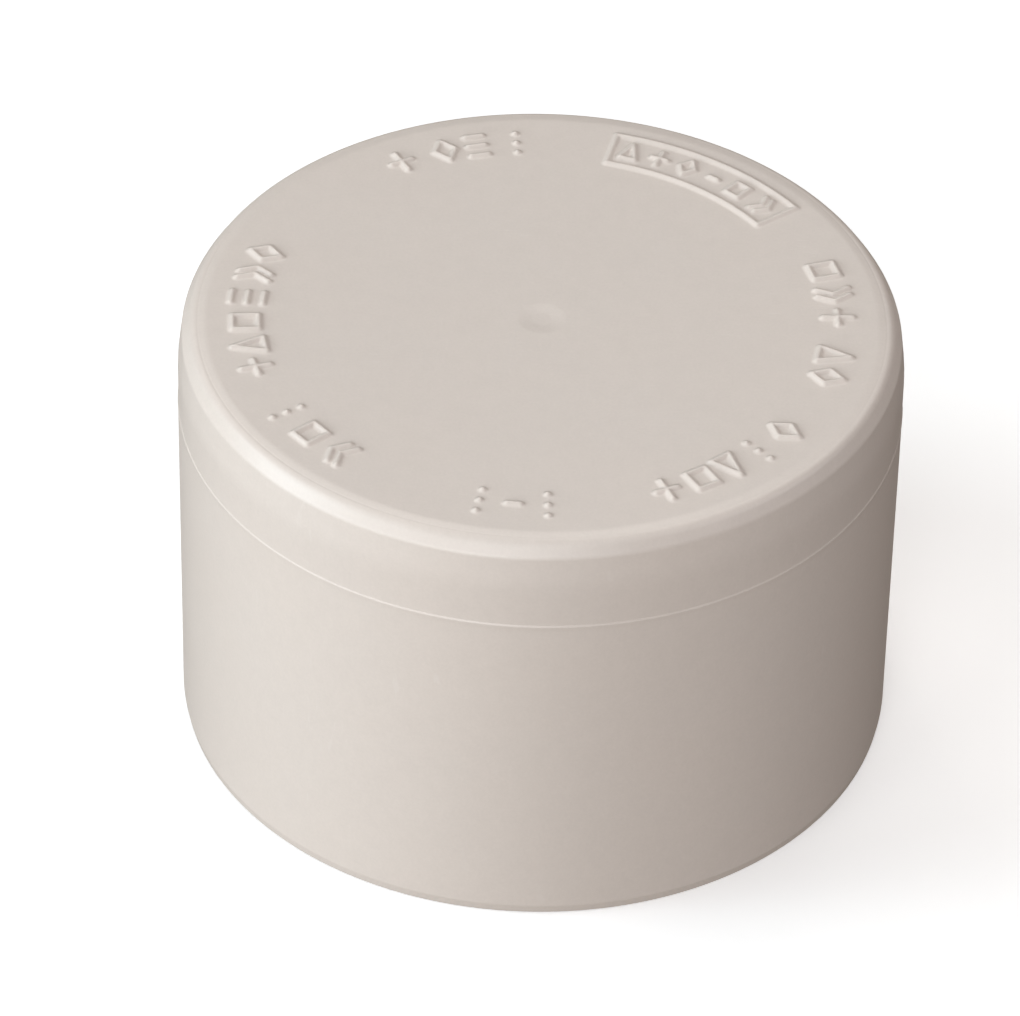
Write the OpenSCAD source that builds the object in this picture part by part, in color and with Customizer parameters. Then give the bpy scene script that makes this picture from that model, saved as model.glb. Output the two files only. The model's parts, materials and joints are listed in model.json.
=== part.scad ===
// Slip cap for Schedule 40 plastic pipe, nominal size 1-1/2 inch.
// One moulded piece, standing on its open mouth with the closed end up.
// Millimetres. The origin is the centre of the mouth's plane, and +Z points to the closed end.

/* [Outside] */
// Outside diameter over the mould parting line
parting_d = 57.2; // [56.6:0.1:60]
// Height of the flat end above the mouth, without the raised marks
cap_h = 37; // [36.5:0.5:42]
// Height of the parting line above the mouth
parting_z = 29.5; // [20:0.1:31]
// Width of the bevel around the closed end, measured along the radius
edge_w = 0.7; // [0.4:0.1:1.2]
// Height of that bevel
edge_h = 0.95; // [0.6:0.05:1.6]
// How far the side draws in below that bevel
draw_in = 0.3; // [0:0.05:0.5]
// Height of the part of the side that draws in
draw_in_h = 2.5; // [1:0.1:4]
// Radius that softens the two corners of that bevel
edge_soft_r = 0.8; // [0.2:0.1:1]
// How far the rim of the flat end slopes down before the bevel starts
edge_drop = 0.15; // [0.05:0.05:0.3]
// How far the parting line stands out of the wall
parting_proud = 0.06; // [0.03:0.01:0.3]
// Draft of the skirt: how much smaller its radius is at the mouth than at the parting line
skirt_draft = 0.1; // [0:0.02:0.4]
// Width of the bevel on the outer edge of the mouth, measured along the radius
rim_bevel_w = 0.15; // [0.1:0.05:0.8]
// Height of that bevel
rim_bevel_h = 0.75; // [0.2:0.05:1.5]

/* [Socket] */
// Outside diameter of the pipe, and so of the seat at the bottom of the socket
pipe_d = 48.26; // [48.2:0.01:48.35]
// Diameter of the socket at the mouth
entrance_d = 48.56; // [48.45:0.01:48.7]
// Depth from the mouth to the shoulder that stops the pipe
socket_depth = 27.8; // [24:0.1:29.5]
// Length of the straight seat above the taper
seat_length = 9.3; // [4:0.1:16]
// Bevel that leads the pipe into the mouth
lead_in = 0.6; // [0.3:0.1:1.2]
// Width of the shoulder that stops the pipe
shoulder_w = 2.5; // [1:0.1:4]
// Depth of the recess beyond the shoulder
recess_depth = 3.2; // [1.8:0.1:3.5]
// Radius in the corner of the recess
recess_corner_r = 1.5; // [0.5:0.1:1.6]

/* [Closed end] */
// Width of the fine groove that bounds the flat face
groove_w = 0.34; // [0.1:0.02:0.5]
// Depth of that groove
groove_depth = 0.03; // [0.02:0.01:0.2]
// Diameter of the dimple that the moulding gate leaves at the centre
dimple_d = 3.8; // [2:0.1:5]
// Depth of the dimple
dimple_depth = 0.1; // [0.05:0.05:0.5]

/* [Marks] */
// Radius of the ring that the marks' centres lie on
mark_ring_r = 23.2; // [21:0.1:23.4]
// Height of a mark, measured along the radius
mark_h = 3.1; // [2:0.1:3.4]
// Width of a mark, measured along the ring
mark_w = 2.3; // [1.5:0.1:2.6]
// Width of the strokes
stroke = 0.55; // [0.4:0.05:0.7]
// How far the marks stand out of the flat face
mark_relief = 0.25; // [0.1:0.05:0.5]

/* [Hidden] */
$fn = 180;

pvc = [0.84, 0.82, 0.79];
eps = 0.01;
// How far the circle of a rounding stands out of the corner's two sides, so that it cuts each side clearly
crossing = 0.003;

// Outside radii, from the parting line outwards and down to the mouth
parting_r = parting_d / 2;
wall_r = parting_r - parting_proud;
mouth_r = wall_r - skirt_draft;
parting_half = 0.1;

// Socket radii and heights
pipe_r = pipe_d / 2;
entrance_r = entrance_d / 2;
recess_r = pipe_r - shoulder_w;
seat_z = socket_depth - seat_length;
recess_z = socket_depth + recess_depth;

// The groove lies on the sloping rim of the flat end, just inside the bevel
slope_beyond_groove = 0.37;
slope_before_groove = 0.43;
bevel_in_r = wall_r - draw_in - edge_w;
groove_out_r = bevel_in_r - slope_beyond_groove;
groove_in_r = groove_out_r - groove_w;
slope_start_r = groove_in_r - slope_before_groove;
slope = edge_drop / (bevel_in_r - slope_start_r);

// The ways that the surfaces around the bevel face, in degrees above level
draw_in_facing = atan2(draw_in, draw_in_h);
bevel_facing = atan2(edge_w, edge_h);
slope_facing = 90 - atan(slope);

dimple_sphere_r = (pow(dimple_d / 2, 2) + pow(dimple_depth, 2)) / (2 * dimple_depth);

// The marks start this far below the flat face, so that they join it
mark_root = 0.2;

// The arc frame: its limits along the ring, and its clear height along the radius
frame_start = 36.5;
frame_end = 77.5;
frame_h = 4.4;
framed_scale = 0.8;

// Marks in their groups, anticlockwise from +X: [angle in degrees, kind of mark]
PLAIN_MARKS = [
    // upper left
    [120, "plus"], [110.5, "diamond"], [104, "dashes"], [96, "dots"],
    // right
    [17.5, "box"], [9.6, "chevrons"], [2.5, "plus"], [-9.7, "triangle"], [-16.5, "diamond"],
    // lower right
    [-35.5, "diamond"], [-43.5, "dots"], [-50.8, "triangle"], [-57.4, "box"], [-65, "plus"],
    // bottom
    [-88, "dots"], [-94.5, "dash"], [-101, "dots"],
    // lower left
    [-131, "chevrons"], [-139, "box"], [-147, "dots"],
    // left
    [197.8, "plus"], [191, "triangle"], [183.6, "box"],
    [175.7, "dashes"], [167.9, "chevrons"], [161.2, "diamond"]
];
FRAMED_MARKS = [
    [73, "triangle"], [66.8, "plus"], [60.6, "diamond"],
    [54.5, "dash"], [48.4, "box"], [41.4, "chevrons"]
];

// The strokes of a mark, as point lists: x runs from -1 to 1 across it, and y from -1 to 1 up it
function strokes(kind) =
    kind == "diamond" ? [[[0, 1], [1, 0], [0, -1], [-1, 0], [0, 1]]] :
    kind == "triangle" ? [[[0, 1], [1, -1], [-1, -1], [0, 1]]] :
    kind == "box" ? [[[-1, 0.8], [1, 0.8], [1, -0.8], [-1, -0.8], [-1, 0.8]]] :
    kind == "plus" ? [[[-1, 0], [1, 0]], [[0, -0.9], [0, 0.9]]] :
    kind == "dashes" ? [for (y = [-1, 0, 1]) [[-0.8, y], [0.8, y]]] :
    kind == "chevrons" ? [for (x = [-0.9, 0.1]) [[x, 1], [x + 0.8, 0], [x, -1]]] :
    kind == "dash" ? [[[-0.6, 0], [0.6, 0]]] :
    [for (y = [-1, 0, 1]) [[0, y], [0, y]]];

// One straight stroke with square ends, from point a to point b
module stroke_bar(a, b) {
    along = b - a;
    translate(a)
        rotate(atan2(along[1], along[0]))
            translate([-stroke / 2, -stroke / 2])
                square([norm(along) + stroke, stroke]);
}

// A mark's outline, centred on the origin with its top towards +Y
module mark_shape(kind, size = 1) {
    half = [(mark_w * size - stroke) / 2, (mark_h * size - stroke) / 2];
    for (path = strokes(kind), i = [1 : len(path) - 1])
        stroke_bar(
            [path[i - 1][0] * half[0], path[i - 1][1] * half[1]],
            [path[i][0] * half[0], path[i][1] * half[1]]
        );
}

// A ring of marks with their tops outwards
module mark_ring(marks, size = 1) {
    for (mark = marks)
        rotate(mark[0] - 90)
            translate([0, mark_ring_r])
                mark_shape(mark[1], size);
}

// The part of a ring between two angles
module arc_sector(r_in, r_out, start, end) {
    intersection() {
        difference() {
            circle(r_out);
            circle(r_in);
        }
        far = 2 * r_out;
        polygon([
            [0, 0],
            [far * cos(start), far * sin(start)],
            [far * cos(end), far * sin(end)]
        ]);
    }
}

// The outline of an arc-shaped plate, which frames one group of marks
module arc_frame() {
    side = stroke / mark_ring_r * 180 / PI;
    r_in = mark_ring_r - frame_h / 2;
    r_out = mark_ring_r + frame_h / 2;
    difference() {
        arc_sector(r_in, r_out, frame_start, frame_end);
        arc_sector(r_in + stroke, r_out - stroke, frame_start + side, frame_end - side);
    }
}

module raised_marks() {
    translate([0, 0, cap_h - mark_root])
        linear_extrude(mark_root + mark_relief) {
            mark_ring(PLAIN_MARKS);
            mark_ring(FRAMED_MARKS, framed_scale);
            arc_frame();
        }
}

function towards(angle) = [cos(angle), sin(angle)];

// Height of the sloping rim of the flat end at a radius
function slope_z(r) = cap_h - slope * (r - slope_start_r);

// What rounding takes off a convex corner whose two sides face these ways, in degrees
module off_corner(corner, first, second, r) {
    middle = (first + second) / 2;
    reach = r / cos((second - first) / 2);
    translate(corner - (reach - crossing) * towards(middle))
        difference() {
            polygon([
                [0, 0],
                2 * r * towards(first),
                2 * reach * towards(middle),
                2 * r * towards(second)
            ]);
            circle(r);
        }
}

// Half section of the solid outside: bevelled mouth, drafted skirt, parting line, band, bevel and flat end
module outside_section() {
    bevel_top = [bevel_in_r, cap_h - edge_drop];
    bevel_foot = [wall_r - draw_in, cap_h - edge_drop - edge_h];
    groove_r = (groove_out_r + groove_in_r) / 2;
    difference() {
        polygon([
            [0, 0],
            [mouth_r - rim_bevel_w, 0],
            [mouth_r, rim_bevel_h],
            [wall_r, parting_z - 2 * parting_half],
            [parting_r, parting_z - parting_half],
            [parting_r, parting_z + parting_half],
            [wall_r, parting_z + 2 * parting_half],
            [wall_r, bevel_foot[1] - draw_in_h],
            bevel_foot,
            bevel_top,
            [groove_out_r, slope_z(groove_out_r)],
            [groove_r, slope_z(groove_r) - groove_depth],
            [groove_in_r, slope_z(groove_in_r)],
            [slope_start_r, cap_h],
            [0, cap_h]
        ]);
        off_corner(bevel_foot, draw_in_facing, bevel_facing, edge_soft_r);
        off_corner(bevel_top, bevel_facing, slope_facing, edge_soft_r);
    }
}

// Half section of the hollow: lead-in, taper, straight seat, shoulder and recess
module hollow_section() {
    difference() {
        polygon([
            [0, -eps],
            [entrance_r + lead_in + eps, -eps],
            [entrance_r, lead_in],
            [pipe_r, seat_z],
            [pipe_r, socket_depth],
            [recess_r, socket_depth],
            [recess_r, recess_z],
            [0, recess_z]
        ]);
        off_corner([recess_r, recess_z], 0, 90, recess_corner_r);
    }
}

module cap() {
    color(pvc) {
        difference() {
            rotate_extrude()
                outside_section();
            rotate_extrude()
                hollow_section();
            translate([0, 0, cap_h - dimple_depth + dimple_sphere_r])
                sphere(dimple_sphere_r);
        }
        raised_marks();
    }
}

cap();
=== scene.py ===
# Slip cap for plastic pressure pipe: its moulded surface in full detail, the plastic, the lights
# and the camera. Sizes here are millimetres, and MM turns them into metres. The frame gives the
# outside, the socket and the place.

import json
import math

import bpy
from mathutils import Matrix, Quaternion, Vector


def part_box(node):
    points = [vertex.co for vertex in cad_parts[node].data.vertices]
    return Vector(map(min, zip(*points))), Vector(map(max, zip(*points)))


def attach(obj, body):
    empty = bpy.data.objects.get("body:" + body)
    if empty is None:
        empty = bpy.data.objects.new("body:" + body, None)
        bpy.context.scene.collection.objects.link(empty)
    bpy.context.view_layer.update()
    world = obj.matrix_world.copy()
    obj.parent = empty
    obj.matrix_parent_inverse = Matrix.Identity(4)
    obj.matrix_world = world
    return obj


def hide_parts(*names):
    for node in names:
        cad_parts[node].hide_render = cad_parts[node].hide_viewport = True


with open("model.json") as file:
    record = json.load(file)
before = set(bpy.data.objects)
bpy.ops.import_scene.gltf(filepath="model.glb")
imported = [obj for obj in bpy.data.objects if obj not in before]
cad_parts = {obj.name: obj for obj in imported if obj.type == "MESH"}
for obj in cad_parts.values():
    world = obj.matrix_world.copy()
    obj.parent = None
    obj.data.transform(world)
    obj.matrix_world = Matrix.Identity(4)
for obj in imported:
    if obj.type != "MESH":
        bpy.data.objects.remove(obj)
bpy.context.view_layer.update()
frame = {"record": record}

MM = 0.001
UP = Vector((0, 0, 1))

# ---------------------------------------------------------------- sizes from the frame

# The frame's box reaches up to the top of the marks, which stand this far out of the flat end
MARK_RELIEF = 0.25
LOW, HIGH = (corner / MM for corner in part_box("cap"))
PARTING_R = (HIGH.x - LOW.x) / 2
CAP_H = HIGH.z - MARK_RELIEF
MOUNTS = {mount["name"]: mount for mount in frame["record"]["mounts"]}
SEAT_R = MOUNTS["socket"]["dims"]["r_mm"]
SOCKET_DEPTH = MOUNTS["socket"]["pos_m"][2] / MM
SEAT_Z = SOCKET_DEPTH - MOUNTS["socket"]["dims"]["length_mm"]

# ---------------------------------------------------------------- outside and inside of the moulding

# A rounding is the radius that softens the corner it is named after
PARTING_PROUD = 0.06
WALL_R = PARTING_R - PARTING_PROUD
SKIRT_DRAFT = 0.1
MOUTH_R = WALL_R - SKIRT_DRAFT
# The parting line is a small ledge that faces up, and the skirt below it falls back a little
PARTING_Z = 29.5
LEDGE_ABOVE = 0.02
LEDGE_BELOW = 0.13
LEDGE_ROUNDING = 0.15
FALL_BACK = 0.03
FALL_BACK_H = 0.4
FALL_BACK_ROUNDING = 2.0
# The side draws in a little below a softened bevel, and the rim of the flat end slopes down to that bevel
DRAW_IN = 0.3
DRAW_IN_H = 2.5
DRAW_IN_ROUNDING = 10.0
EDGE_W = 0.7
EDGE_H = 1.05
EDGE_DROP = 0.15
BEVEL_R = WALL_R - DRAW_IN - EDGE_W
BEVEL_TOP_ROUNDING = 0.85
BEVEL_FOOT_ROUNDING = 0.7
SLOPE_R = 26.4
SLOPE_ROUNDING = 2.5
# The mould insert's faint groove
GROOVE_R = 27.0
GROOVE_HALF = 0.11
GROOVE_DEPTH = 0.009
GROOVE_ROUNDING = 0.3
# The gate's dimple, with its own small floor
DIMPLE_R = 1.9
DIMPLE_DEPTH = 0.06
DIMPLE_FLOOR_R = DIMPLE_R * 0.4
DIMPLE_FLOOR_ROUNDING = 3.0
DIMPLE_ROUNDING = 2.4
# The mouth's edge and the socket
RIM_BEVEL_W = 0.14
RIM_BEVEL_H = 0.75
RIM_BEVEL_ROUNDING = 0.8
MOUTH_ROUNDING = 0.15
MOUTH_BORE_R = 24.28
LEAD_IN = 0.6
LEAD_IN_ROUNDING = 0.4
SEAT_ROUNDING = 4.0
SHOULDER_W = 2.5
SHOULDER_ROUNDING = 0.3
RECESS_R = SEAT_R - SHOULDER_W
RECESS_DEPTH = 3.2
RECESS_Z = SOCKET_DEPTH + RECESS_DEPTH
RECESS_ROUNDING = 1.5

# The mesh: columns round the axis, the angle between the points of a rounding, the longest
# straight stretch, and how near to a rounding the first point of a stretch lies
COLUMNS = 300
ARC_STEP = math.radians(9)
LONGEST_RUN = 5.0
GUARD = 0.09
# A corner that turns by less than this isn't rounded, and a ring smaller than this is one point
LEAST_TURN = 1e-4
LEAST_RING_R = 1e-6

# ---------------------------------------------------------------- raised marks

MARK_RING_R = 23.2
MARK_W = 2.3
MARK_H = 3.1
STROKE = 0.55
# A stroke rises from its foot to its centre line, and the relief is evened out over a small circle
STROKE_FOOT = 0.43
SOFT_R = 0.09
SOFT_STEPS = [Vector((0, 0))] + [
    Vector((SOFT_R * math.cos(turn), SOFT_R * math.sin(turn)))
    for turn in (math.tau * step / 6 for step in range(6))
]
# The frame's relief is this share of the marks', and its ends are angles in degrees
FRAME_SHARE = 0.8
FRAME_START = 36.5
FRAME_END = 77.5
FRAME_H = 4.4
FRAME_STEPS = 40
FRAMED_SCALE = 0.8
# The ring of the flat end that holds the marks, in rows of cells, and the steps across a fine cell
FIELD_IN_R = 20.2
FIELD_OUT_R = 26.2
FIELD_ROWS = 13
FINE = 5

# Angle in degrees, anticlockwise from +X, and kind
PLAIN_MARKS = [
    (120, "plus"), (110.5, "diamond"), (104, "dashes"), (96, "dots"),
    (17.5, "box"), (9.6, "chevrons"), (2.5, "plus"), (-9.7, "triangle"), (-16.5, "diamond"),
    (-35.5, "diamond"), (-43.5, "dots"), (-50.8, "triangle"), (-57.4, "box"), (-65, "plus"),
    (-88, "dots"), (-94.5, "dash"), (-101, "dots"),
    (-131, "chevrons"), (-139, "box"), (-147, "dots"),
    (197.8, "plus"), (191, "triangle"), (183.6, "box"),
    (175.7, "dashes"), (167.9, "chevrons"), (161.2, "diamond"),
]
FRAMED_MARKS = [
    (73, "triangle"), (66.8, "plus"), (60.6, "diamond"),
    (54.5, "dash"), (48.4, "box"), (41.4, "chevrons"),
]

# The strokes of each kind as point lists: x runs from -1 to 1 across the mark, and y from -1 to 1 up it
STROKES = {
    "diamond": [[(0, 1), (1, 0), (0, -1), (-1, 0), (0, 1)]],
    "triangle": [[(0, 1), (1, -1), (-1, -1), (0, 1)]],
    "box": [[(-1, 0.8), (1, 0.8), (1, -0.8), (-1, -0.8), (-1, 0.8)]],
    "plus": [[(-1, 0), (1, 0)], [(0, -0.9), (0, 0.9)]],
    "dashes": [[(-0.8, y), (0.8, y)] for y in (-1, 0, 1)],
    "chevrons": [[(x, 1), (x + 0.8, 0), (x, -1)] for x in (-0.9, 0.1)],
    "dash": [[(-0.6, 0), (0.6, 0)]],
    "dots": [[(0, y), (0, y)] for y in (-1, 0, 1)],
}


# ---------------------------------------------------------------- outline of the section

def corner_arc(before, corner, after, rounding):
    """Points along the arc that rounds a corner, or the corner itself."""
    back = (before - corner).normalized()
    ahead = (after - corner).normalized()
    turn = math.pi - back.angle(ahead)
    if rounding == 0 or turn < LEAST_TURN:
        return [corner]
    reach = rounding * math.tan(turn / 2)
    start = corner + back * reach
    centre = corner + (back + ahead).normalized() * (rounding / math.cos(turn / 2))
    steps = max(2, math.ceil(turn / ARC_STEP))
    spoke = start - centre
    side = 1 if back.cross(ahead) < 0 else -1
    points = []
    for step in range(steps + 1):
        angle = side * turn * step / steps
        turned = Vector((
            spoke.x * math.cos(angle) - spoke.y * math.sin(angle),
            spoke.x * math.sin(angle) + spoke.y * math.cos(angle),
        ))
        points.append(centre + turned)
    return points


def straight_run(start, end):
    """Points between two arcs: one close to each, which keeps the flat flat, and others on a long run."""
    length = (end - start).length
    if length < 3 * GUARD:
        return []
    along = (end - start) / length
    first = start + along * GUARD
    last = end - along * GUARD
    pieces = max(1, math.ceil(length / LONGEST_RUN))
    return [first.lerp(last, piece / pieces) for piece in range(pieces + 1)]


def rounded_outline(corners):
    """The section's outline through corners, each (radius, height, rounding)."""
    places = [Vector(corner[:2]) for corner in corners]
    arcs = [[places[0]]]
    for number in range(1, len(corners) - 1):
        arcs.append(corner_arc(*places[number - 1:number + 2], corners[number][2]))
    arcs.append([places[-1]])
    outline = list(arcs[0])
    for arc in arcs[1:]:
        outline += straight_run(outline[-1], arc[0]) + arc
    return outline


def centre_outline():
    """From the centre of the flat end out to the marks' field."""
    floor_z = CAP_H - DIMPLE_DEPTH
    return rounded_outline([
        (0, floor_z, 0),
        (DIMPLE_FLOOR_R, floor_z, DIMPLE_FLOOR_ROUNDING),
        (DIMPLE_R, CAP_H, DIMPLE_ROUNDING),
        (FIELD_IN_R, CAP_H, 0),
    ])


def slope_z(radius):
    """Height of the sloping rim of the flat end."""
    return CAP_H - EDGE_DROP * (radius - SLOPE_R) / (BEVEL_R - SLOPE_R)


def body_outline():
    """From the marks' field over the edge, down the side, round the mouth and up the socket."""
    bevel_foot_z = CAP_H - EDGE_DROP - EDGE_H
    return rounded_outline([
        (FIELD_OUT_R, CAP_H, 0),
        (SLOPE_R, CAP_H, SLOPE_ROUNDING),
        (GROOVE_R - GROOVE_HALF, slope_z(GROOVE_R - GROOVE_HALF), GROOVE_ROUNDING),
        (GROOVE_R, slope_z(GROOVE_R) - GROOVE_DEPTH, GROOVE_ROUNDING),
        (GROOVE_R + GROOVE_HALF, slope_z(GROOVE_R + GROOVE_HALF), GROOVE_ROUNDING),
        (BEVEL_R, CAP_H - EDGE_DROP, BEVEL_TOP_ROUNDING),
        (WALL_R - DRAW_IN, bevel_foot_z, BEVEL_FOOT_ROUNDING),
        (WALL_R, bevel_foot_z - DRAW_IN_H, DRAW_IN_ROUNDING),
        (WALL_R, PARTING_Z + LEDGE_ABOVE, LEDGE_ROUNDING),
        (PARTING_R, PARTING_Z - LEDGE_BELOW, LEDGE_ROUNDING),
        (PARTING_R - FALL_BACK, PARTING_Z - LEDGE_BELOW - FALL_BACK_H, FALL_BACK_ROUNDING),
        (MOUTH_R, RIM_BEVEL_H, RIM_BEVEL_ROUNDING),
        (MOUTH_R - RIM_BEVEL_W, 0, MOUTH_ROUNDING),
        (MOUTH_BORE_R + LEAD_IN, 0, MOUTH_ROUNDING),
        (MOUTH_BORE_R, LEAD_IN, LEAD_IN_ROUNDING),
        (SEAT_R, SEAT_Z, SEAT_ROUNDING),
        (SEAT_R, SOCKET_DEPTH, SHOULDER_ROUNDING),
        (RECESS_R, SOCKET_DEPTH, SHOULDER_ROUNDING),
        (RECESS_R, RECESS_Z, RECESS_ROUNDING),
        (0, RECESS_Z, 0),
    ])


# ---------------------------------------------------------------- field of raised marks

def mark_segments(angle, kind, size):
    """One mark's strokes as pairs of points on the flat end."""
    half_w = (MARK_W * size - STROKE) / 2
    half_h = (MARK_H * size - STROKE) / 2
    turn = math.radians(angle)
    outward = Vector((math.cos(turn), math.sin(turn)))
    across = Vector((math.sin(turn), -math.cos(turn)))
    segments = []
    for path in STROKES[kind]:
        points = [outward * (MARK_RING_R + y * half_h) + across * (x * half_w) for x, y in path]
        segments += list(zip(points, points[1:]))
    return segments


def frame_segments():
    """The arc-shaped plate's outline, as short straight strokes."""
    r_in = MARK_RING_R - (FRAME_H - STROKE) / 2
    r_out = MARK_RING_R + (FRAME_H - STROKE) / 2
    inset = math.radians(FRAME_START) + STROKE / 2 / MARK_RING_R
    width = math.radians(FRAME_END) - STROKE / 2 / MARK_RING_R - inset
    angles = [inset + width * step / FRAME_STEPS for step in range(FRAME_STEPS + 1)]
    loop = [Vector((r_out * math.cos(a), r_out * math.sin(a))) for a in angles]
    loop += [Vector((r_in * math.cos(a), r_in * math.sin(a))) for a in reversed(angles)]
    return list(zip(loop, loop[1:] + loop[:1]))


def all_strokes():
    """Every stroke as a (segment, share of the relief) pair."""
    segments = []
    for angle, kind in PLAIN_MARKS:
        segments += mark_segments(angle, kind, 1)
    for angle, kind in FRAMED_MARKS:
        segments += mark_segments(angle, kind, FRAMED_SCALE)
    marks = [(segment, 1) for segment in segments]
    return marks + [(segment, FRAME_SHARE) for segment in frame_segments()]


def distance_to(point, segment):
    """Distance from a point to the nearest place on a stroke."""
    start, end = segment
    along = end - start
    length = along.length_squared
    share = 0 if length == 0 else max(0, min(1, (point - start).dot(along) / length))
    return (point - start - along * share).length


def smooth_step(value):
    """Rises smoothly from 0 to 1 as the value goes from 0 to 1."""
    held = max(0, min(1, value))
    return held * held * (3 - 2 * held)


def stroke_share(place, strokes):
    """Share of the marks' relief at a place, from the (segment, share) pairs near it."""
    return max(
        share * smooth_step(1 - distance_to(place, segment) / STROKE_FOOT)
        for segment, share in strokes
    )


class MarksField:
    """The ring of the flat end that holds the marks: coarse cells, and fine ones under the strokes."""

    def __init__(self, mesh):
        self.mesh = mesh
        self.cell_r = (FIELD_OUT_R - FIELD_IN_R) / FIELD_ROWS
        self.cell_angle = 2 * math.pi / COLUMNS
        self.near = self.strokes_near_cells()
        self.vertices = {}

    def flat_point(self, row, column):
        """A place on the flat end, where row and column count fine steps."""
        radius = FIELD_IN_R + self.cell_r * row / FINE
        angle = self.cell_angle * column / FINE
        return Vector((radius * math.cos(angle), radius * math.sin(angle)))

    def strokes_near_cells(self):
        """For each cell that a stroke comes near, the strokes. No stroke is longer than far."""
        near = {}
        half_cell = math.hypot(self.cell_r, self.cell_angle * FIELD_OUT_R) / 2
        reach = STROKE_FOOT + SOFT_R + half_cell
        far = 2 * MARK_H
        strokes = all_strokes()
        for row in range(1, FIELD_ROWS - 1):
            for column in range(COLUMNS):
                middle = self.flat_point((row + 0.5) * FINE, (column + 0.5) * FINE)
                found = [
                    stroke for stroke in strokes
                    if abs(stroke[0][0].x - middle.x) < far
                    and abs(stroke[0][0].y - middle.y) < far
                    and distance_to(middle, stroke[0]) < reach
                ]
                if found:
                    near[row, column] = found
        return near

    def vertex(self, row, column):
        """The number of the vertex at a fine step, made when it is first asked for."""
        column %= COLUMNS * FINE
        if (row, column) not in self.vertices:
            place = self.flat_point(row, column)
            share = self.share_at(place, row, column)
            height = CAP_H + MARK_RELIEF * share
            self.vertices[row, column] = self.mesh.add(place.x, place.y, height, share)
        return self.vertices[row, column]

    def share_at(self, place, row, column):
        """Share of the relief at a fine step, evened out over a small circle."""
        cells = {
            ((row - dr) // FINE, (column - dc) // FINE % COLUMNS)
            for dr in (0, 1) for dc in (0, 1)
        }
        strokes = [stroke for cell in cells for stroke in self.near.get(cell, [])]
        if not strokes:
            return 0
        return sum(stroke_share(place + step, strokes) for step in SOFT_STEPS) / len(SOFT_STEPS)

    def is_fine(self, row, column):
        return (row, column % COLUMNS) in self.near

    def edge(self, start, end, split):
        """The vertices from one corner of a cell up to the next, in fine steps beside a fine cell."""
        steps = FINE if split else 1
        return [
            self.vertex(
                start[0] + (end[0] - start[0]) * step // steps,
                start[1] + (end[1] - start[1]) * step // steps,
            )
            for step in range(steps)
        ]

    def coarse_face(self, row, column):
        low_row, high_row = row * FINE, (row + 1) * FINE
        low_column, high_column = column * FINE, (column + 1) * FINE
        corners = [
            (low_row, low_column),
            (high_row, low_column),
            (high_row, high_column),
            (low_row, high_column),
        ]
        neighbours = [(row, column - 1), (row + 1, column), (row, column + 1), (row - 1, column)]
        face = []
        for side in range(4):
            face += self.edge(corners[side], corners[(side + 1) % 4], self.is_fine(*neighbours[side]))
        self.mesh.faces.append(face)

    def fine_faces(self, row, column):
        for r in range(row * FINE, (row + 1) * FINE):
            for c in range(column * FINE, (column + 1) * FINE):
                corners = [(r, c), (r + 1, c), (r + 1, c + 1), (r, c + 1)]
                self.mesh.faces.append([self.vertex(*corner) for corner in corners])

    def build(self):
        """Adds every cell, and returns the vertices of the inner and the outer edge, one a column."""
        for row in range(FIELD_ROWS):
            for column in range(COLUMNS):
                if self.is_fine(row, column):
                    self.fine_faces(row, column)
                else:
                    self.coarse_face(row, column)
        inner = [self.vertex(0, column * FINE) for column in range(COLUMNS)]
        outer = [self.vertex(FIELD_ROWS * FINE, column * FINE) for column in range(COLUMNS)]
        return inner, outer


# ---------------------------------------------------------------- the whole mesh

class MeshParts:
    """Vertices in millimetres, each with its share of the marks' relief, and faces."""

    def __init__(self):
        self.places = []
        self.relief = []
        self.faces = []

    def add(self, x, y, z, share=0):
        self.places.append((x * MM, y * MM, z * MM))
        self.relief.append(share)
        return len(self.places) - 1

    def ring(self, point):
        """The vertices of a circle at this radius and height, or the one vertex on the axis."""
        if point.x < LEAST_RING_R:
            return [self.add(0, 0, point.y)]
        angles = [2 * math.pi * column / COLUMNS for column in range(COLUMNS)]
        return [self.add(point.x * math.cos(a), point.x * math.sin(a), point.y) for a in angles]

    def join(self, inner, outer):
        """The faces between two rings, seen from outside the plastic."""
        for column in range(COLUMNS):
            after = (column + 1) % COLUMNS
            face = [inner[column % len(inner)], outer[column % len(outer)]]
            face += [outer[after % len(outer)], inner[after % len(inner)]]
            self.faces.append(list(dict.fromkeys(face)))


def cap_parts():
    """The marks' field, with the rings inside it joined to it, and those outside it down to the hollow."""
    parts = MeshParts()
    field_inner, field_outer = MarksField(parts).build()
    centre = [parts.ring(point) for point in centre_outline()[:-1]] + [field_inner]
    body = [field_outer] + [parts.ring(point) for point in body_outline()[1:]]
    for rings in (centre, body):
        for inner, outer in zip(rings, rings[1:]):
            parts.join(inner, outer)
    return parts


def cap_mesh():
    parts = cap_parts()
    mesh = bpy.data.meshes.new("cap_body")
    mesh.from_pydata(parts.places, [], parts.faces)
    relief = mesh.attributes.new("relief", "FLOAT", "POINT")
    relief.data.foreach_set("value", parts.relief)
    mesh.shade_smooth()
    mesh.update()
    return mesh


# ---------------------------------------------------------------- plastic

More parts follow.
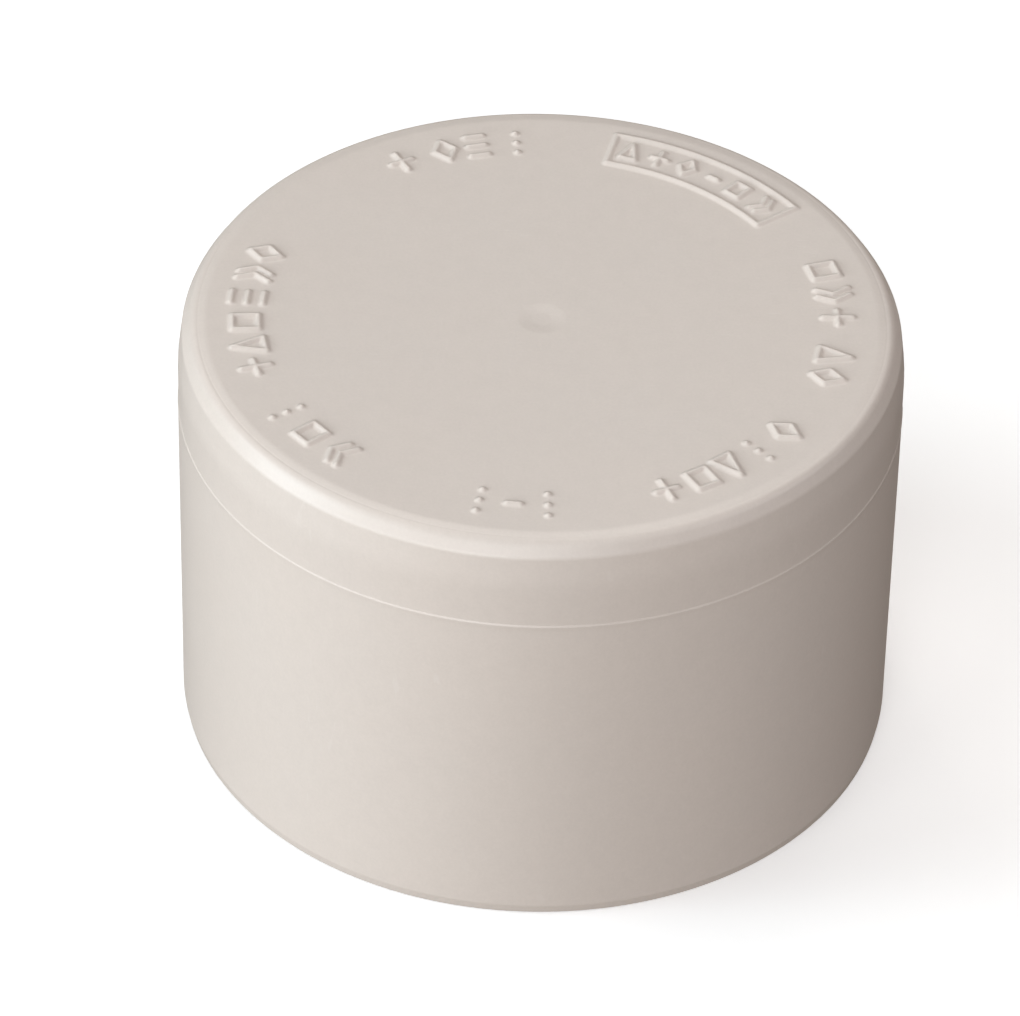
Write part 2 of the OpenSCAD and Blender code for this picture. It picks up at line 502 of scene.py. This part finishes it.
class Nodes:
    """Short calls for building one material's nodes."""

    def __init__(self, name):
        self.material = bpy.data.materials.new(name)
        self.material.use_nodes = True
        self.tree = self.material.node_tree
        self.shader = self.tree.nodes["Principled BSDF"]
        self.place = self.add("ShaderNodeTexCoord").outputs["Object"]

    def add(self, kind, **settings):
        node = self.tree.nodes.new(kind)
        for name, value in settings.items():
            setattr(node, name, value)
        return node

    def put(self, socket, value):
        """Links an output to an input, or sets the input's own value."""
        if isinstance(value, bpy.types.NodeSocket):
            self.tree.links.new(value, socket)
        else:
            socket.default_value = value

    def math(self, operation, first, second=0.0):
        node = self.add("ShaderNodeMath", operation=operation)
        self.put(node.inputs[0], first)
        self.put(node.inputs[1], second)
        return node.outputs[0]

    def noise(self, size, detail=2.0, roughness=0.5, where=None):
        """Noise from 0 to 1 whose lumps are about size millimetres."""
        node = self.add("ShaderNodeTexNoise")
        self.put(node.inputs["Vector"], self.place if where is None else where)
        self.put(node.inputs["Scale"], 1 / (size * MM))
        self.put(node.inputs["Detail"], detail)
        self.put(node.inputs["Roughness"], roughness)
        return node.outputs["Fac"]

    def ranged(self, value, low, high, to_low, to_high, smooth=False):
        node = self.add("ShaderNodeMapRange", interpolation_type="SMOOTHSTEP" if smooth else "LINEAR")
        for name, number in (("From Min", low), ("From Max", high), ("To Min", to_low), ("To Max", to_high)):
            self.put(node.inputs[name], number)
        self.put(node.inputs["Value"], value)
        return node.outputs["Result"]

    def mix(self, share, first, second, blend="MIX"):
        node = self.add("ShaderNodeMix", data_type="RGBA", blend_type=blend)
        self.put(node.inputs["Factor"], share)
        colours = [socket for socket in node.inputs if socket.type == "RGBA"]
        self.put(colours[0], first)
        self.put(colours[1], second)
        return next(socket for socket in node.outputs if socket.type == "RGBA")

    def bump(self, height, depth, under=None):
        """Bump of this depth in millimetres, on top of another."""
        node = self.add("ShaderNodeBump")
        self.put(node.inputs["Height"], height)
        self.put(node.inputs["Distance"], depth * MM)
        if under is not None:
            self.put(node.inputs["Normal"], under)
        return node.outputs["Normal"]


PVC_WARM = (0.657, 0.592, 0.543, 1)
PVC_COOL = (0.649, 0.587, 0.540, 1)
PVC_WORN = (0.69, 0.635, 0.59, 1)
PVC_SPECK = (0.3, 0.26, 0.23, 1)
PVC_IOR = 1.53
ROUGHNESS = 0.4
# How far from ROUGHNESS the clouds and the mottle take it, and how much smoother a worn mark is
CLOUD_ROUGHNESS = 0.03
MOTTLE_ROUGHNESS = 0.02
WEAR_SMOOTHNESS = 0.12
# Nearly all of a noise lies between these two values
NOISE_RANGE = (0.3, 0.7)
# Sizes of the lumps in millimetres
CLOUD_SIZE = 11.0
SWELL_SIZE = 4.5
MOTTLE_SIZE = 1.1
PEEL_SIZE = 0.45
GRAIN_SIZE = 0.25
# How far the mottle and the grain take the shade from 1
MOTTLE_SHADE = 0.01
GRAIN_SHADE = 0.015
# Depths of the bump in millimetres
SWELL_DEPTH = 0.02
PEEL_DEPTH = 0.006
SCUFF_DEPTH = 0.004
# One speck lies in each of a few cells of this size, and its radius is a share of the cell
SPECK_CELL = 3.2
SPECK_CHANCE = 0.035
SPECK_CORE = 0.015
SPECK_EDGE = 0.035
# A scratch is drawn out along one slanting direction, and the scratches come in patches
SCUFF_SIZE = 2.2
SCUFF_STRETCH = (1, 9, 1)
SCUFF_TURN = (0.5, 0.3, 0.9)
SCUFF_PATCH = 7.0


def specks(nodes):
    """A few tiny dark inclusions: 1 in small cells that chance picks."""
    cells = nodes.add("ShaderNodeTexVoronoi")
    nodes.put(cells.inputs["Vector"], nodes.place)
    nodes.put(cells.inputs["Scale"], 1 / (SPECK_CELL * MM))
    chance = nodes.add("ShaderNodeSeparateColor")
    nodes.put(chance.inputs["Color"], cells.outputs["Color"])
    picked = nodes.math("GREATER_THAN", chance.outputs["Red"], 1 - SPECK_CHANCE)
    dot = nodes.ranged(cells.outputs["Distance"], SPECK_CORE, SPECK_EDGE, 1, 0, smooth=True)
    return nodes.math("MULTIPLY", picked, dot)


def scuffs(nodes):
    """Fine short scratches from handling, from 0 to 1."""
    stretched = nodes.add("ShaderNodeMapping")
    nodes.put(stretched.inputs["Vector"], nodes.place)
    nodes.put(stretched.inputs["Rotation"], SCUFF_TURN)
    nodes.put(stretched.inputs["Scale"], SCUFF_STRETCH)
    lines = nodes.noise(SCUFF_SIZE, 3.0, 0.6, stretched.outputs["Vector"])
    patches = nodes.ranged(nodes.noise(SCUFF_PATCH), 0.5, 0.68, 0, 1, smooth=True)
    return nodes.math("MULTIPLY", nodes.ranged(lines, 0.6, 0.72, 0, 1, smooth=True), patches)


def pvc_material():
    """Satin moulded PVC: faint clouding and mottle, orange peel, handling marks and a few specks."""
    nodes = Nodes("moulded_pvc")
    relief = nodes.add("ShaderNodeAttribute", attribute_name="relief").outputs["Fac"]
    cloud = nodes.noise(CLOUD_SIZE)
    mottle = nodes.noise(MOTTLE_SIZE, 3.0)
    grain = nodes.noise(GRAIN_SIZE)
    peel = nodes.noise(PEEL_SIZE)
    scuffed = scuffs(nodes)
    wear = nodes.ranged(relief, 0.8, 1.0, 0, 0.35, smooth=True)

    colour = nodes.mix(nodes.ranged(cloud, 0.35, 0.65, 0, 1), PVC_WARM, PVC_COOL)
    shade = nodes.ranged(mottle, *NOISE_RANGE, 1 - MOTTLE_SHADE, 1 + MOTTLE_SHADE)
    fine_shade = nodes.ranged(grain, *NOISE_RANGE, 1 - GRAIN_SHADE, 1 + GRAIN_SHADE)
    shade = nodes.math("MULTIPLY", shade, fine_shade)
    grey = nodes.add("ShaderNodeCombineColor")
    for name in ("Red", "Green", "Blue"):
        nodes.put(grey.inputs[name], shade)
    colour = nodes.mix(1.0, colour, grey.outputs["Color"], "MULTIPLY")
    handled = nodes.math("MULTIPLY", nodes.math("ADD", wear, scuffed), 0.5)
    colour = nodes.mix(handled, colour, PVC_WORN)
    colour = nodes.mix(specks(nodes), colour, PVC_SPECK)

    smoothest, roughest = ROUGHNESS - CLOUD_ROUGHNESS, ROUGHNESS + CLOUD_ROUGHNESS
    roughness = nodes.ranged(cloud, *NOISE_RANGE, smoothest, roughest)
    mottled = nodes.ranged(mottle, *NOISE_RANGE, -MOTTLE_ROUGHNESS, MOTTLE_ROUGHNESS)
    roughness = nodes.math("ADD", roughness, mottled)
    roughness = nodes.math("SUBTRACT", roughness, nodes.math("MULTIPLY", wear, WEAR_SMOOTHNESS))

    normal = nodes.bump(nodes.noise(SWELL_SIZE), SWELL_DEPTH)
    normal = nodes.bump(peel, PEEL_DEPTH, normal)
    normal = nodes.bump(nodes.math("SUBTRACT", 1.0, scuffed), SCUFF_DEPTH, normal)

    nodes.put(nodes.shader.inputs["Base Color"], colour)
    nodes.put(nodes.shader.inputs["Roughness"], roughness)
    nodes.put(nodes.shader.inputs["Normal"], normal)
    nodes.put(nodes.shader.inputs["IOR"], PVC_IOR)
    return nodes.material


def make_cap():
    cap = bpy.data.objects.new("cap_body", cap_mesh())
    cap.data.materials.append(pvc_material())
    bpy.context.scene.collection.objects.link(cap)
    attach(cap, "root")
    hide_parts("cap")
    return cap


# ---------------------------------------------------------------- stage

# The lights and the camera are placed from the middle of the cap's height
MIDDLE = UP * (CAP_H / 2 * MM)
# The floor's sizes and the lights' distance and width are in metres
FLOOR_SIZE = 6.0
FLOOR_DROP = 0.02 * MM
FLOOR_COLOUR = (0.92, 0.92, 0.92, 1)
FLOOR_GLOW = 0.3
FLOOR_ROUGHNESS = 0.9
FLOOR_SPECULAR = 0.1

# Soft round lights at one distance from the cap: name, azimuth, elevation, watts and tint. Azimuth is
# the side that the light comes from, in degrees: 0 is the camera's side, -90 the left and 90 the right
PLAIN = (1, 1, 1)
COOL = (0.935, 1.03, 1.075)
WARM = (1.03, 0.982, 0.99)
WARMER = (1.05, 1.0, 0.95)
LIGHTS = [
    ("left_low", -75, 12, 4.45, COOL),
    ("front_left_low", -45, 12, 2.49, PLAIN),
    ("front_low", -15, 12, 3.36, PLAIN),
    ("left", -90, 36, 3.22, COOL),
    ("front", 0, 36, 1.80, PLAIN),
    ("front_right", 60, 36, 1.50, WARM),
    ("right", 90, 36, 1.29, WARM),
    ("back_left_high", -150, 45, 1.18, WARMER),
    ("back_right_high", 150, 45, 1.19, WARMER),
    ("back_high", 180, 60, 1.68, WARMER),
]
LIGHT_DISTANCE = 1.0
LIGHT_WIDTH = 0.45
# What the pale room sends up from below, instead of the floor, and what the camera sees behind the floor
FROM_BELOW = (0.198, 0.165, 0.138, 1)
BACKDROP = (0.97, 0.97, 0.97, 1)


def direction_from(azimuth, elevation):
    """The direction towards a place at this azimuth and elevation, in degrees."""
    a = math.radians(azimuth)
    e = math.radians(elevation)
    return Vector((math.sin(a) * math.cos(e), -math.cos(a) * math.cos(e), math.sin(e)))


def make_floor():
    """A plain pale floor that the cap neither reflects nor is lit by."""
    half = FLOOR_SIZE / 2
    corners = [(-half, -half), (half, -half), (half, half), (-half, half)]
    mesh = bpy.data.meshes.new("floor")
    mesh.from_pydata([(x, y, -FLOOR_DROP) for x, y in corners], [], [(0, 1, 2, 3)])
    floor = bpy.data.objects.new("floor", mesh)
    bpy.context.scene.collection.objects.link(floor)
    material = bpy.data.materials.new("pale_floor")
    material.use_nodes = True
    shader = material.node_tree.nodes["Principled BSDF"]
    shader.inputs["Base Color"].default_value = FLOOR_COLOUR
    shader.inputs["Roughness"].default_value = FLOOR_ROUGHNESS
    shader.inputs["Specular IOR Level"].default_value = FLOOR_SPECULAR
    shader.inputs["Emission Color"].default_value = FLOOR_COLOUR
    shader.inputs["Emission Strength"].default_value = FLOOR_GLOW
    mesh.materials.append(material)
    floor.visible_diffuse = False
    floor.visible_glossy = False


def make_light(name, azimuth, elevation, watts, tint):
    data = bpy.data.lights.new(name, "AREA")
    data.shape = "DISK"
    data.size = LIGHT_WIDTH
    data.energy = watts
    data.color = tint
    light = bpy.data.objects.new(name, data)
    towards = direction_from(azimuth, elevation)
    light.location = MIDDLE + towards * LIGHT_DISTANCE
    light.rotation_mode = "QUATERNION"
    light.rotation_quaternion = towards.to_track_quat("Z", "Y")
    light.visible_camera = False
    bpy.context.scene.collection.objects.link(light)


def make_world():
    """Light from below the horizon only, and a pale backdrop for the camera."""
    world = bpy.data.worlds.new("studio")
    world.use_nodes = True
    tree = world.node_tree
    light = tree.nodes["Background"]
    light.inputs["Color"].default_value = FROM_BELOW
    below = tree.nodes.new("ShaderNodeMath")
    below.operation = "LESS_THAN"
    below.inputs[1].default_value = 0
    height = tree.nodes.new("ShaderNodeSeparateXYZ")
    place = tree.nodes.new("ShaderNodeTexCoord")
    backdrop = tree.nodes.new("ShaderNodeBackground")
    backdrop.inputs["Color"].default_value = BACKDROP
    seen = tree.nodes.new("ShaderNodeLightPath")
    choice = tree.nodes.new("ShaderNodeMixShader")
    output = tree.nodes["World Output"]
    tree.links.new(place.outputs["Generated"], height.inputs["Vector"])
    tree.links.new(height.outputs["Z"], below.inputs[0])
    tree.links.new(below.outputs[0], light.inputs["Strength"])
    tree.links.new(seen.outputs["Is Camera Ray"], choice.inputs[0])
    tree.links.new(light.outputs[0], choice.inputs[1])
    tree.links.new(backdrop.outputs[0], choice.inputs[2])
    tree.links.new(choice.outputs[0], output.inputs["Surface"])
    bpy.context.scene.world = world


# ---------------------------------------------------------------- camera

# Angles in degrees. The distance and the aim are from MIDDLE
CAMERA_ELEVATION = 39.02
CAMERA_DISTANCE = 589.2
CAMERA_LENS = 260.4
CAMERA_ROLL = 1.25
AIM_LEFT = 2.2
AIM_DOWN = 0.54
# The nearest and the farthest that the camera sees, in metres
CLIP_START = 0.01
CLIP_END = 20


def make_camera():
    """A long lens from the front and above, aimed a little left of the cap and tilted a little."""
    back = direction_from(0, CAMERA_ELEVATION)
    right = Vector((1, 0, 0))
    above = back.cross(right)
    data = bpy.data.cameras.new("camera")
    data.lens = CAMERA_LENS
    data.clip_start = CLIP_START
    data.clip_end = CLIP_END
    camera = bpy.data.objects.new("camera", data)
    camera.location = MIDDLE + back * (CAMERA_DISTANCE * MM)
    aim = MIDDLE - right * (AIM_LEFT * MM) - above * (AIM_DOWN * MM)
    level = (aim - camera.location).to_track_quat("-Z", "Y")
    camera.rotation_mode = "QUATERNION"
    camera.rotation_quaternion = level @ Quaternion((0, 0, 1), math.radians(CAMERA_ROLL))
    bpy.context.scene.collection.objects.link(camera)
    bpy.context.scene.camera = camera


def main():
    make_cap()
    make_floor()
    make_world()
    for light in LIGHTS:
        make_light(*light)
    make_camera()
    bpy.context.scene.view_settings.view_transform = "Standard"


main()
